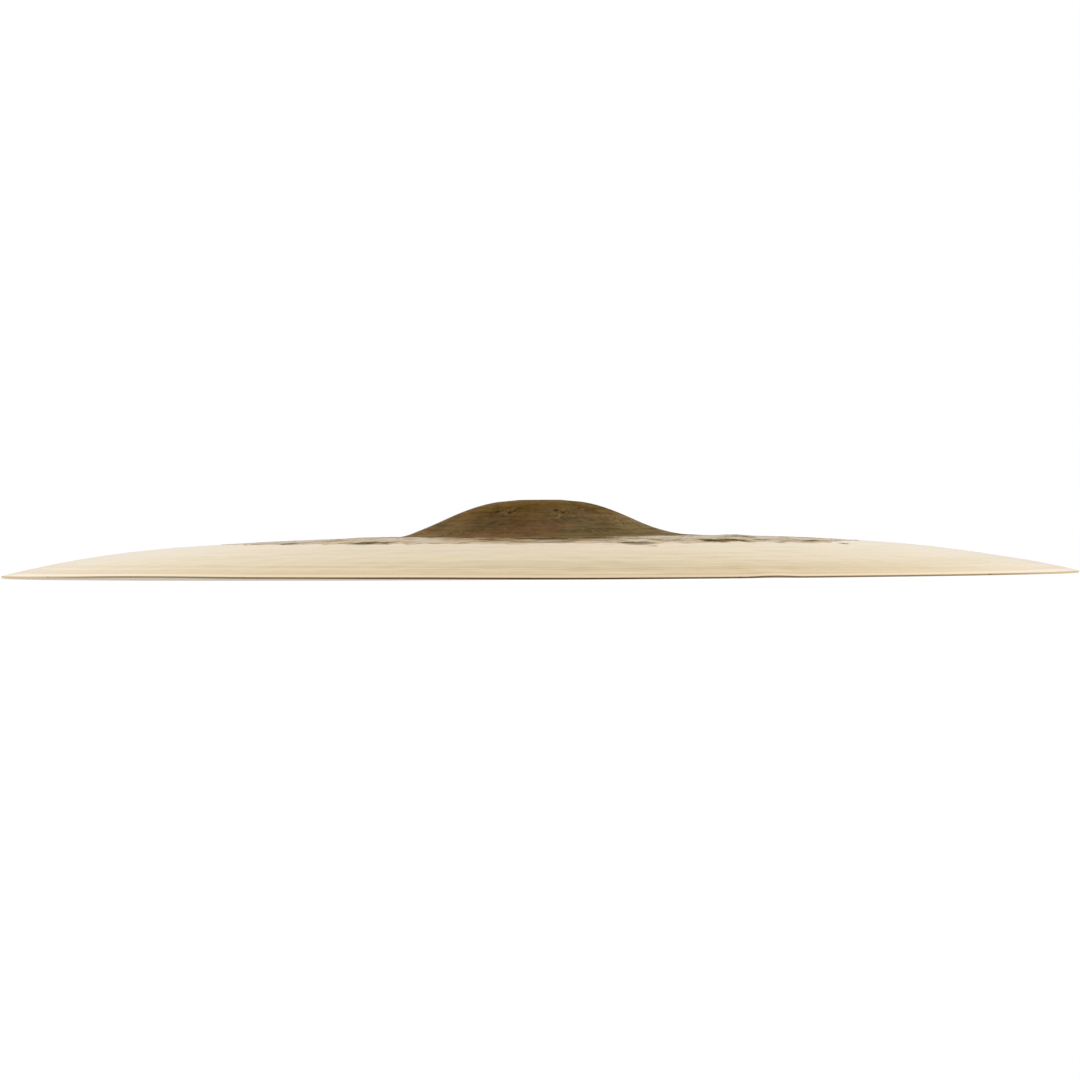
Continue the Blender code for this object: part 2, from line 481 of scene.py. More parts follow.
def dent_rows(sizes, draw):
    """The hammer's dents: (x, y, half width, depth, share the lathe missed, share it polished) of each."""
    outer_start = START_MIDDLE + sizes.dent_width / 2
    last = sizes.diameter / 2 - sizes.dent_width
    stretches = ((sizes.bell_radius, outer_start, RAW_ROWS), (outer_start, last, TURNED_ROWS))
    dents = []
    for start, end, (gap, breadth, force) in stretches:
        for radius in rings(start, end, sizes.dent_pitch * gap):
            count = round(2 * math.pi * radius / (sizes.dent_pitch * breadth))
            for step in range(count):
                angle = 2 * math.pi * (step + draw.uniform(-DENT_STRAY, DENT_STRAY)) / count
                reach = radius + draw.uniform(-DENT_STRAY, DENT_STRAY) * sizes.dent_pitch
                half_width = sizes.dent_width / 2 * breadth * draw.uniform(*DENT_WIDTHS)
                depth = sizes.dent_depth * force * draw.uniform(*DENT_DEPTHS)
                missed = draw.uniform(0.0, 1.0) ** 2
                polished = draw.uniform(*DENT_POLISH)
                x, y = reach * math.cos(angle), reach * math.sin(angle)
                dents.append((x, y, half_width, depth, missed, polished))
    return dents


def scale_and_shade_patches(sizes, draw):
    """The listed patches of scale, one of them painted shade next to the bell's foot, and those that are
    strewn over the rest.
    """
    patches = list(SCALE_AND_SHADE_PATCHES)
    for _ in range(STREWN_PATCHES):
        angle = draw.uniform(*STREWN_DIRECTIONS)
        radius = draw.uniform(sizes.bell_radius * STREWN_PAST_FOOT, sizes.raw_radius)
        size_x = draw.uniform(*STREWN_SIZES)
        size_y = size_x * draw.uniform(*STREWN_SHAPES)
        x, y = radius * math.cos(angle), radius * math.sin(angle)
        patches.append((x, y, size_x, size_y, draw.uniform(*STREWN_STRENGTHS)))
    return patches


def in_oval(x, y, patch, reach):
    """The strength of one oval patch at each place: whole in its middle, and 0 outside its reach."""
    middle_x, middle_y, size_x, size_y, strength = patch
    return strength * bump(np.hypot((x - middle_x) / size_x, (y - middle_y) / size_y), reach)


def in_any_oval(x, y, patches, reach):
    values = np.zeros_like(x)
    for patch in patches:
        values = np.maximum(values, in_oval(x, y, patch, reach))
    return values


def write_attribute(mesh, name, values):
    attribute = mesh.attributes.new(name, "FLOAT", "POINT")
    attribute.data.foreach_set("value", values.astype(np.float32))


def press_dents(x, y, sizes, draw):
    """What the hammer leaves at each place: a dent's height as struck and as the lathe smoothed it, how
    much of it the lathe missed, and how much it polished."""
    dented = np.zeros(len(x))
    smoothed = np.zeros(len(x))
    missed = np.zeros(len(x))
    polished = np.zeros(len(x))
    for middle_x, middle_y, half_width, depth, share_missed, share_polished in dent_rows(sizes, draw):
        near = np.flatnonzero((np.abs(x - middle_x) < half_width) & (np.abs(y - middle_y) < half_width))
        offset = np.hypot(x[near] - middle_x, y[near] - middle_y)
        cap = np.clip(1 - (offset / half_width) ** 2, 0.0, 1.0)
        dented[near] = np.minimum(dented[near], -depth * cap)
        smoothed[near] -= depth * cap ** 2
        missed[near] = np.maximum(missed[near], cap ** 2 * share_missed)
        inside = smooth_step(cap, 0.0, POLISHED_CAP)
        polished[near] += (share_polished - polished[near]) * inside
    return dented, smoothed, missed, polished


def warp_sheet(lifts, radii, angles, rim):
    """Adds how far the sheet lies off its even form: the eased crown, the swells and the rim's lifts."""
    lifts -= CROWN_EASE * bump(radii - CROWN_EASE_RADIUS, CROWN_EASE_REACH)
    for direction, radius, lift, half_angle, half_reach in SWELLS:
        lifts += lift * bump(turned_from(angles, direction), half_angle) * bump(radii - radius, half_reach)
    for direction, lift, half_width in RIM_LIFTS:
        lifts += lift * bump(turned_from(angles, direction), half_width) * (radii / rim) ** RIM_LIFT_POWER


def hammer_disc(disc, sizes, profile, top_count):
    """Moves the vertices as hammer and lathe did, and notes on each what its finish depends on."""
    mesh = disc.data
    places = vertex_places(mesh)
    on_top = stations_of(places, profile) < top_count
    x, y = places[:, 0], places[:, 1]
    radii, angles = np.hypot(x, y), np.arctan2(y, x)
    rim = sizes.diameter / 2
    draw = np.random.default_rng(sizes.seed)

    dented, smoothed, missed, polished = press_dents(x, y, sizes, draw)
    clear_of_edges = fade_across(radii, sizes.bell_radius, DENTS_FROM_FOOT)
    clear_of_edges *= 1 - fade_across(radii, rim, DENTS_TO_RIM)
    raw = 1 - fade_across(radii, START_MIDDLE, SMOOTHED_AT_START)
    lifts = (dented * raw + smoothed * (1 - raw)) * clear_of_edges
    warp_sheet(lifts, radii, angles, rim)

    past_start = radii - lathe_start(angles) - MISSED_REACH * missed
    turned = smooth_step(past_start, -CUT_EASE, CUT_EASE)
    wave = np.sin(2 * math.pi * (radii - sizes.raw_radius) / sizes.groove_pitch)
    top_only = sizes.lathe_cut * (1 - turned) * (radii > sizes.raw_radius)
    top_only += sizes.groove_depth * wave * turned * (1 - fade_across(radii, rim, GROOVES_TO_RIM))
    places[:, 2] += lifts + np.where(on_top, top_only, 0.0)
    mesh.vertices.foreach_set("co", places.astype(np.float32).ravel())
    mesh.update()

    polished *= clear_of_edges
    for tone in BELL_TONES:
        polished += in_oval(x, y, tone, 1.0) * on_top
    write_attribute(mesh, "past_start", past_start)
    write_attribute(mesh, "polished", polished)
    # The scale attribute also carries the patch of painted shade next to the bell's foot.
    scale = in_any_oval(x, y, scale_and_shade_patches(sizes, draw), SCALE_REACH)
    write_attribute(mesh, "scale", scale * on_top)
    write_attribute(mesh, "pitted", in_any_oval(x, y, PITTED_PATCHES, 1.0) * on_top)
    return past_start


def unroll_map(mesh, profile):
    """A map with the turn along U and the length along the profile up V, so rings stay sharp when baked."""
    places = vertex_places(mesh)
    station = stations_of(places, profile)
    points = np.array(profile + profile[:1])
    lengths = np.concatenate([[0.0], np.cumsum(np.hypot(*np.diff(points, axis=0).T))])
    along = np.arctan2(places[:, 1], places[:, 0]) / (2 * math.pi) % 1.0
    up = lengths[station] / lengths[-1]
    corners = np.empty(len(mesh.loops), np.int32)
    mesh.loops.foreach_get("vertex_index", corners)
    # Each face has four corners, and stays whole where it crosses the seam of the turn.
    corners = corners.reshape(-1, 4)
    layer = mesh.uv_layers.new(name="OFBake")
    sides = []
    for values in (along[corners], up[corners]):
        across_seam = np.ptp(values, axis=1, keepdims=True) > 0.5
        sides.append(np.where(across_seam & (values < 0.5), values + 1.0, values))
    layer.data.foreach_set("uv", np.stack(sides, axis=-1).astype(np.float32).ravel())


# How the nodes are laid out in the editor.
NODE_GAP = (220, -260)
NODES_IN_ROW = 8

FLOAT = "NodeSocketFloat"
VECTOR = "NodeSocketVector"
COLOUR = "NodeSocketColor"


class Graph:
    """Adds the nodes of one material, world or group and links them."""

    def __init__(self, tree):
        self.tree = tree

    def add(self, kind, values=(), **settings):
        node = self.tree.nodes.new(kind)
        row, place_in_row = divmod(len(self.tree.nodes), NODES_IN_ROW)
        node.location = (NODE_GAP[0] * place_in_row, NODE_GAP[1] * row)
        for name, value in settings.items():
            setattr(node, name, value)
        for name, value in dict(values).items():
            if isinstance(value, bpy.types.NodeSocket):
                self.tree.links.new(value, node.inputs[name])
            else:
                node.inputs[name].default_value = value
        return node

    def use(self, group, values):
        """Places a node group and gives its outputs."""
        return self.add("ShaderNodeGroup", values, node_tree=group).outputs

    def math(self, operation, *values):
        return self.add("ShaderNodeMath", enumerate(values), operation=operation).outputs[0]

    def plus(self, first, second):
        return self.math("ADD", first, second)

    def times(self, first, second):
        return self.math("MULTIPLY", first, second)

    def most(self, first, second):
        return self.math("MAXIMUM", first, second)

    def vector(self, operation, values, output="Vector"):
        return self.add("ShaderNodeVectorMath", values, operation=operation).outputs[output]

    def noise(self, vector, scale=1.0, detail=2.0, roughness=0.5):
        values = {"Vector": vector, "Scale": scale, "Detail": detail, "Roughness": roughness}
        return self.add("ShaderNodeTexNoise", values).outputs["Fac"]

    def swing(self, vector, pattern):
        """The pattern's noise from -0.5 to 0.5."""
        return self.math("SUBTRACT", self.noise(vector, *pattern), 0.5)

    def fade(self, value, low, high, from_value=0.0, to_value=1.0):
        values = {"Value": value, "From Min": low, "From Max": high, "To Min": from_value, "To Max": to_value}
        return self.add("ShaderNodeMapRange", values, interpolation_type="SMOOTHSTEP").outputs[0]

    # The sockets of a Mix node share their names between kinds of value, so they are found by index.
    def mix(self, share, first, second):
        values = {0: share, 6: first, 7: second}
        return self.add("ShaderNodeMix", values, data_type="RGBA").outputs[2]

    def blend(self, share, first, second):
        values = {0: share, 2: first, 3: second}
        return self.add("ShaderNodeMix", values, data_type="FLOAT").outputs[0]

    def attribute(self, name):
        return self.add("ShaderNodeAttribute", attribute_name=name).outputs["Fac"]


def new_group(name, inputs, outputs):
    """A node group with the named sockets: its graph, and its inputs by name."""
    tree = bpy.data.node_groups.new(name, "ShaderNodeTree")
    for socket, kind in inputs.items():
        tree.interface.new_socket(name=socket, in_out="INPUT", socket_type=kind)
    for socket, kind in outputs.items():
        tree.interface.new_socket(name=socket, in_out="OUTPUT", socket_type=kind)
    graph = Graph(tree)
    return graph, graph.add("NodeGroupInput").outputs


def close_group(graph, results):
    """Links the results to the group's outputs by name, and gives the finished group."""
    graph.add("NodeGroupOutput", results)
    return graph.tree


def around_group():
    """Turns a place into one that follows the turn: slow round the disc, fast across it, with no seam."""
    graph, source = new_group(
        "Around The Disc",
        {"Vector": VECTOR, "Around": FLOAT, "Across": FLOAT},
        {"Vector": VECTOR, "Radius": FLOAT},
    )
    parts = graph.add("ShaderNodeSeparateXYZ", {0: source["Vector"]}).outputs
    flat = graph.add("ShaderNodeCombineXYZ", {"X": parts["X"], "Y": parts["Y"]}).outputs[0]
    radius = graph.vector("LENGTH", {0: flat}, "Value")
    direction = graph.vector("NORMALIZE", {0: flat})
    ring = graph.vector("SCALE", {0: direction, "Scale": source["Around"]})
    height = graph.times(radius, source["Across"])
    rise = graph.add("ShaderNodeCombineXYZ", {"Z": height}).outputs[0]
    return close_group(graph, {"Vector": graph.vector("ADD", {0: ring, 1: rise}), "Radius": radius})


def follow_turn(graph, around, place, cells_round, cells_across):
    """The place unrolled along the turn, and its radius: both outputs of the group Around The Disc."""
    return graph.use(around, {"Vector": place, "Around": cells_round, "Across": cells_across})


# The noise in the finishes, as (cells per metre, detail, roughness).
BLOTCHES = (34.0, 3.0, 0.55)
CLUMPS = (75.0, 2.0)
MOTTLES = (420.0, 3.0, 0.6)
FLECKS = (620.0, 1.0)
CLOUDS = (42.0, 3.0, 0.6)
WANDERING = (20.0, 3.0)
OLIVE_AREAS = (36.0, 2.0)
SPECKLES = (330.0, 3.0, 0.65)
HAMMERED_SPOTS = (85.0, 4.0, 0.65)
SCALE_OUTLINE = (62.0, 5.0, 0.62)
SCALE_BREAKS = (150.0, 4.0, 0.7)
PIT_OUTLINE = (700.0, 2.0)
CREST_SPOTS = (110.0, 3.0, 0.6)
SKIN_GRAIN = (1100.0, 3.0, 0.6)
SKIN_RELIEF = (260.0, 2.0, 0.5)
START_SPOTS = (300.0, 3.0, 0.6)
STAINS = (22.0, 3.0, 0.5)
EDGE_GRAIN = (900.0, 2.0)

# Patterns that follow the turn: (cells for each radian round the disc, cells per metre across it).
GROOVE_RINGS = (1.1, 460.0)
BAND_RINGS = (0.9, 110.0)
STREAK_RINGS = (2.2, 400.0)
CREST_RINGS = (3.0, 900.0)
START_RINGS = (8.0, 700.0)
TARNISH_RINGS = (2.6, 130.0)
FINE_CELLS_ROUND = 0.7

# The fades of the patina and of the lathe's tone, from 0 to 1 over this range of the noise.
BLOTCH_EDGE = (0.35, 0.65)
MOTTLE_EDGE = (1.08, 1.20)
FLECK_EDGE = (1.04, 1.12)
TONE_RANGE = (0.36, 0.64)
# How much a pitted place adds to the clumps of mottles.
PITTED_SHARE = 0.20
CLUMP_SHARE = 0.8


def patina_group():
    """Blotches, mottles and flecks of an aged bronze surface, from 0 to 1, with more where it is pitted."""
    graph, source = new_group(
        "Bronze Patina",
        {"Vector": VECTOR, "Pitted": FLOAT},
        {"Blotch": FLOAT, "Mottle": FLOAT, "Fleck": FLOAT},
    )
    place = source["Vector"]
    blotch = graph.fade(graph.noise(place, *BLOTCHES), *BLOTCH_EDGE)
    clumps = graph.times(graph.noise(place, *CLUMPS), CLUMP_SHARE)
    clumps = graph.plus(clumps, graph.times(source["Pitted"], PITTED_SHARE))
    mottle = graph.fade(graph.plus(graph.noise(place, *MOTTLES), clumps), *MOTTLE_EDGE)
    flecks = graph.plus(graph.noise(place, *FLECKS), graph.times(clumps, CLUMP_SHARE))
    return close_group(graph, {"Blotch": blotch, "Mottle": mottle, "Fleck": graph.fade(flecks, *FLECK_EDGE)})


def turning_group(around):
    """Lines that a lathe's tool leaves: a height for fine grooves, and a tone for broad bands."""
    graph, source = new_group(
        "Turning Lines", {"Vector": VECTOR, "Line Width": FLOAT}, {"Height": FLOAT, "Tone": FLOAT}
    )
    place = source["Vector"]
    lines_across = graph.math("DIVIDE", 1.0, source["Line Width"])
    fine_place = follow_turn(graph, around, place, FINE_CELLS_ROUND, lines_across)["Vector"]
    fine = graph.noise(fine_place, roughness=0.6)
    groove = graph.noise(follow_turn(graph, around, place, *GROOVE_RINGS)["Vector"])
    broad = graph.noise(follow_turn(graph, around, place, *BAND_RINGS)["Vector"], detail=3.0, roughness=0.65)
    tone = graph.plus(graph.times(broad, 0.5), graph.times(groove, 0.5))
    height = graph.plus(graph.times(fine, 0.5), graph.times(groove, 0.5))
    return close_group(graph, {"Height": height, "Tone": graph.fade(tone, *TONE_RANGE)})


# The radii between which the golden skin of the crown gives way to grey, and the bell's skin to the bow's.
GOLD_TO_GREY = (0.014, 0.058)
BELL_TO_BOW = (0.060, 0.090)
# The skin's roughness from the bell to the bow: (from radius, to radius, on the bell, on the bow).
SKIN_ROUGHNESS = (0.058, 0.086, 0.46, 0.13)
# How much rougher it is where its tone is dark: (dark tone, light tone, added, not added).
DARK_ROUGHNESS = (0.34, 0.56, 0.17, 0.0)
# Olive comes in over this stretch towards +X, and at the edges of its own areas.
OLIVE_SIDE = (0.0, 0.075)
OLIVE_EDGE = (0.44, 0.58)
# How olive that side and those areas are, and the skin at the most.
OLIVE_BY_SIDE, OLIVE_BY_AREA, MOST_OLIVE = 0.5, 0.7, 0.85
# How far the borders of the coloured areas wander, and how much of that the golden one does.
WANDER, GOLD_WANDER = 0.20, 0.4
# How much of the bell's tone is speckles, and how much of the bow's is streaks.
SPECKLE_SHARE, STREAK_SHARE = 0.45, 0.30
# The tones at which the skin is darkest and lightest, and its brightness there.
SKIN_TONES = (0.28, 0.64)
DARKER, LIGHTER = 0.66, 1.42
# How much clouds, blotches and what the hammer polished change the tone.
CLOUD_TONE, BLOTCH_TONE, POLISHED_TONE = 0.35, -0.08, 0.15


def skin_ground(graph, place, radius, colours):
    """The skin's golden, grey and olive areas, before its tone."""
    wander = graph.times(graph.swing(place, WANDERING), WANDER)
    low = graph.fade(graph.plus(radius, graph.times(wander, GOLD_WANDER)), *GOLD_TO_GREY)
    ground = graph.mix(low, tuple(colours.skin_gold), tuple(colours.skin_grey))
    side = graph.add("ShaderNodeSeparateXYZ", {0: place}).outputs["X"]
    to_the_side = graph.fade(graph.plus(side, wander), *OLIVE_SIDE)
    areas = graph.fade(graph.noise(place, *OLIVE_AREAS), *OLIVE_EDGE)
    olive = graph.plus(graph.times(to_the_side, OLIVE_BY_SIDE), graph.times(areas, OLIVE_BY_AREA))
    olive = graph.times(olive, graph.times(low, MOST_OLIVE))
    return graph.mix(olive, ground, tuple(colours.skin_olive))


def skin_tone(graph, place, ring, blotch):
    """How light each place of the skin is, and how rough: streaked and speckled, and spotted on the bow."""
    streak = graph.noise(ring["Vector"], detail=3.0, roughness=0.6)
    on_bell = graph.blend(SPECKLE_SHARE, streak, graph.noise(place, *SPECKLES))
    on_bow = graph.blend(STREAK_SHARE, graph.noise(place, *HAMMERED_SPOTS), streak)
    tone = graph.blend(graph.fade(ring["Radius"], *BELL_TO_BOW), on_bell, on_bow)
    tone = graph.plus(tone, graph.times(graph.swing(place, CLOUDS), CLOUD_TONE))
    rough = graph.plus(graph.fade(ring["Radius"], *SKIN_ROUGHNESS), graph.fade(tone, *DARK_ROUGHNESS))
    tone = graph.plus(tone, graph.times(blotch, BLOTCH_TONE))
    tone = graph.plus(tone, graph.times(graph.attribute("polished"), POLISHED_TONE))
    return tone, rough


# Scale: how much its outline wanders, the range over which it comes in, and how it breaks up inside.
OUTLINE_WANDER = 2.6
SCALE_EDGE = (0.42, 0.92)
BREAK_RANGE = (0.34, 0.56, 0.5, 1.0)
# Painted shade at the bell's foot: how far its edge wanders, and how it fades to both sides.
FOOT_SHADE_WANDER = -0.012
FOOT_SHADE_RANGE = (0.001, 0.009, 0.38, 0.0)
# A pit's edge wanders by this much, and it is dark and fades out at these shares of its half width.
PIT_WANDER = 0.0016
PIT_DARK_TO, PIT_CLEAR_FROM, PIT_DARKNESS = 0.7, 1.5, 1.15
# How dark a mottle is against whole scale.
MOTTLE_DARKNESS = 0.7


def skin_scale(graph, place, radius, mottle):
    """The patches of scale, and all that is dark on the skin: scale, mottles, painted shade at the bell's
    foot, and pits.
    """
    outline = graph.swing(place, SCALE_OUTLINE)
    scale = graph.plus(graph.attribute("scale"), graph.times(outline, OUTLINE_WANDER))
    breaks = graph.fade(graph.noise(place, *SCALE_BREAKS), *BREAK_RANGE)
    scale = graph.times(graph.fade(scale, *SCALE_EDGE), breaks)
    # Painted shade in the crease round the bell's foot, wandering with the scale's outline.
    foot = graph.math("ABSOLUTE", graph.math("SUBTRACT", radius, BELL_FOOT))
    foot_shade = graph.fade(graph.plus(foot, graph.times(outline, FOOT_SHADE_WANDER)), *FOOT_SHADE_RANGE)
    dark = graph.most(graph.most(scale, graph.times(mottle, MOTTLE_DARKNESS)), foot_shade)
    flat = graph.vector("MULTIPLY", {0: place, 1: (1.0, 1.0, 0.0)})
    ragged = graph.times(graph.swing(place, PIT_OUTLINE), PIT_WANDER)
    for x, y, half_width in PITS:
        distance = graph.plus(graph.vector("DISTANCE", {0: flat, 1: (x, y, 0.0)}, "Value"), ragged)
        pit = graph.fade(distance, half_width * PIT_DARK_TO, half_width * PIT_CLEAR_FROM, PIT_DARKNESS, 0.0)
        dark = graph.most(dark, pit)
    return scale, dark


# Short of its start the lathe touches the crests of the skin: (from, to, share at the first, at the last).
TOUCHED_RANGE = (-0.016, -0.001, 0.0, 0.95)
CREST_RANGE = (0.92, 1.09)


def touched_skin(graph, around, place, dark):
    """Where the lathe brushed the skin's crests before it cut: just short of its start."""
    crest_place = follow_turn(graph, around, place, *CREST_RINGS)["Vector"]
    crests = graph.plus(graph.noise(crest_place), graph.noise(place, *CREST_SPOTS))
    near_start = graph.fade(graph.attribute("past_start"), *TOUCHED_RANGE)
    touched = graph.times(graph.math("SUBTRACT", 1.0, dark), near_start)
    return graph.times(touched, graph.fade(crests, *CREST_RANGE))


# How rough scale is, and the crests that the lathe touched; and how metallic scale still is.
SCALE_ROUGHNESS, TOUCHED_ROUGHNESS, SCALE_METALLIC = 0.85, 0.22, 0.9
# How far scale and bare flecks cover the colour under them.
SCALE_COVER, FLECK_COVER = 0.85, 0.8
# How high the fine grain and the scale stand against the skin's broad relief.
GRAIN_SHARE, SCALE_SHARE = 0.4, 0.5


def skin_group(colours, around, patina):
    """The raw skin of the casting: its colour, metallic value, roughness and height."""
    graph, source = new_group(
        "Raw Skin",
        {"Vector": VECTOR},
        {"Color": COLOUR, "Metallic": FLOAT, "Roughness": FLOAT, "Height": FLOAT},
    )
    place = source["Vector"]
    marks = graph.use(patina, {"Vector": place, "Pitted": graph.attribute("pitted")})
    ring = follow_turn(graph, around, place, *STREAK_RINGS)
    ground = skin_ground(graph, place, ring["Radius"], colours)
    tone, rough = skin_tone(graph, place, ring, marks["Blotch"])
    lighter = graph.add("ShaderNodeHueSaturation", {"Value": LIGHTER, "Color": ground}).outputs[0]
    darker = graph.add("ShaderNodeHueSaturation", {"Value": DARKER, "Color": ground}).outputs[0]
    ground = graph.mix(graph.fade(tone, *SKIN_TONES), darker, lighter)
    scale, dark = skin_scale(graph, place, ring["Radius"], marks["Mottle"])
    ground = graph.mix(graph.times(dark, SCALE_COVER), ground, tuple(colours.scale))
    ground = graph.mix(graph.times(marks["Fleck"], FLECK_COVER), ground, tuple(colours.fleck))
    rough = graph.blend(dark, rough, SCALE_ROUGHNESS)
    touched = touched_skin(graph, around, place, dark)
    grain = graph.times(graph.noise(place, *SKIN_GRAIN), GRAIN_SHARE)
    height = graph.plus(grain, graph.noise(place, *SKIN_RELIEF))
    return close_group(graph, {
        "Color": graph.mix(touched, ground, tuple(colours.turned_pale)),
        "Metallic": graph.blend(dark, 1.0, SCALE_METALLIC),
        "Roughness": graph.blend(touched, rough, TOUCHED_ROUGHNESS),
        "Height": graph.plus(height, graph.times(scale, SCALE_SHARE)),
    })


def new_material(name):
    """An empty material: the material, its graph and its object coordinates."""
    material = bpy.data.materials.new(name)
    material.use_nodes = True
    material.node_tree.nodes.clear()
    graph = Graph(material.node_tree)
    return material, graph, graph.add("ShaderNodeTexCoord").outputs["Object"]


def close_material(graph, values, height, bump_distance):
    """Adds the shader, with a bump from the height."""
    bump_values = {"Height": height, "Distance": bump_distance, "Strength": 1.0}
    bumped = graph.add("ShaderNodeBump", bump_values).outputs[0]
    shader = graph.add("ShaderNodeBsdfPrincipled", {**values, "Normal": bumped}).outputs[0]
    graph.add("ShaderNodeOutputMaterial", {"Surface": shader})


# What grazing light takes on from each finish.
BELL_TINT = (0.66, 0.52, 0.36, 1.0)
SKIN_TINT = (0.86, 0.70, 0.44, 1.0)
TURNED_TINT = (1.0, 0.995, 0.97, 1.0)

# The height of each finish's bumps.
SKIN_BUMP = 0.00012
TURNED_BUMP = 0.000014
EDGE_BUMP = 0.00003


def raw_bronze(name, skin_tree, tint):
    """The skin of the casting, rough on the bell and smoother where the bow was hammered."""
    material, graph, place = new_material(name)
    skin = graph.use(skin_tree, {"Vector": place})
    values = {
        "Base Color": skin["Color"],
        "Metallic": skin["Metallic"],
        "Roughness": skin["Roughness"],
        "Specular Tint": tint,
    }
    close_material(graph, values, skin["Height"], SKIN_BUMP)
    return material


# Across one line of the lathe's tool.
LINE_WIDTH = 0.00055
# The turned face comes in over this stretch of the lathe's start.
TURNED_EDGE = (-0.0004, 0.0006)
# How much of its tone is broad stains.
STAIN_SHARE = 0.35
# Painted shade deepens its tone towards the rim: (from radius, to radius, taken off at the first, taken off
# at the last).
SHADE_TO_RIM_RANGE = (0.190, 0.244, 0.0, 0.45)
# Streaks of tarnish, and how much less of them the inner part has.
TARNISH_EDGE = (0.50, 0.66, 0.0, 0.85)
TARNISH_RANGE = (0.170, 0.215, 0.35, 1.0)
# The painted shade, a warmer zone inside the rim, and the painted highlight on its last few millimetres: how
# far inside the rim each begins, and where it is whole.
RIM_SHADE_FROM, RIM_SHADE_WHOLE, RIM_SHADE_SHARE = 0.030, 0.012, 0.75
RIM_HIGHLIGHT_FROM, RIM_HIGHLIGHT_WHOLE = 0.0055, 0.0035
# Specks of scale that the lathe left on the turned face.
LEFT_EDGE = (0.95, 1.5, 0.0, 0.8)
LEFT_METALLIC, LEFT_ROUGHNESS = 0.3, 0.70
# The turned face's roughness, from the deepest to the palest tone, and the skin's least roughness beside it.
TURNED_ROUGHNESS = (0.20, 0.27)
SKIN_LEAST_ROUGHNESS = 0.4


def turned_bronze(colours, skin_tree, turning, around, rim):
    """The turned face, with the raw skin up to the lathe's ragged start."""
    material, graph, place = new_material("turned_bronze")
    skin = graph.use(skin_tree, {"Vector": place})
    lines = graph.use(turning, {"Vector": place, "Line Width": LINE_WIDTH})
    ring = follow_turn(graph, around, place, *START_RINGS)
    radius = ring["Radius"]
    ragged = graph.plus(graph.noise(ring["Vector"]), graph.noise(place, *START_SPOTS))
    ragged = graph.times(graph.math("SUBTRACT", ragged, 1.0), 2 * START_RAGGEDNESS)
    turned = graph.fade(graph.plus(graph.attribute("past_start"), ragged), *TURNED_EDGE)

    tone = graph.blend(STAIN_SHARE, lines["Tone"], graph.noise(place, *STAINS))
    # Painted shade: the tone deepens towards the rim.
    tone = graph.math("SUBTRACT", tone, graph.fade(radius, *SHADE_TO_RIM_RANGE))
    bright = graph.mix(tone, tuple(colours.turned_deep), tuple(colours.turned_pale))
    streaks = graph.noise(follow_turn(graph, around, place, *TARNISH_RINGS)["Vector"])
    tarnish = graph.times(graph.fade(streaks, *TARNISH_EDGE), graph.fade(radius, *TARNISH_RANGE))
    bright = graph.mix(tarnish, bright, tuple(colours.tarnish))
    # Painted shade: a warmer, deeper zone inside the rim.
    rim_shade = graph.fade(radius, rim - RIM_SHADE_FROM, rim - RIM_SHADE_WHOLE, 0.0, RIM_SHADE_SHARE)
    bright = graph.mix(rim_shade, bright, tuple(colours.rim_shade))
    # Painted highlight on the last few millimetres inside the rim.
    rim_highlight = graph.fade(radius, rim - RIM_HIGHLIGHT_FROM, rim - RIM_HIGHLIGHT_WHOLE)
    bright = graph.mix(rim_highlight, bright, tuple(colours.rim_highlight))
    specks = graph.noise(ring["Vector"], detail=3.0, roughness=0.7)
    left_scale = graph.fade(graph.plus(graph.attribute("scale"), specks), *LEFT_EDGE)
    bright = graph.mix(left_scale, bright, tuple(colours.scale))

    rough = graph.blend(left_scale, graph.fade(lines["Tone"], 0.0, 1.0, *TURNED_ROUGHNESS), LEFT_ROUGHNESS)
    skin_rough = graph.most(skin["Roughness"], SKIN_LEAST_ROUGHNESS)
    metallic = graph.blend(left_scale, 1.0, LEFT_METALLIC)
    values = {
        "Base Color": graph.mix(turned, skin["Color"], bright),
        "Metallic": graph.blend(turned, skin["Metallic"], metallic),
        "Roughness": graph.blend(turned, skin_rough, rough),
        "Anisotropic": 0.6,
        "Anisotropic Rotation": 0.25,
        "Specular Tint": TURNED_TINT,
        "Tangent": graph.add("ShaderNodeTangent", direction_type="RADIAL", axis="Z").outputs[0],
    }
    close_material(graph, values, graph.blend(turned, skin["Height"], lines["Height"]), TURNED_BUMP)
    return material


# A painted sheen lightens the rim's edge towards its two sides along X, and most at the tips: shares of the
# rim's radius.
EDGE_SHEEN_WHOLE = 1.8
TIPS_FROM, TIPS_WHOLE, TIPS_SHARE = 0.80, 0.94, 0.35
EDGE_ROUGHNESS = (0.50, 0.42)
# How much blotches rub it, and how far mottles cover it.
EDGE_BLOTCHES, EDGE_MOTTLES = 0.04, 0.5


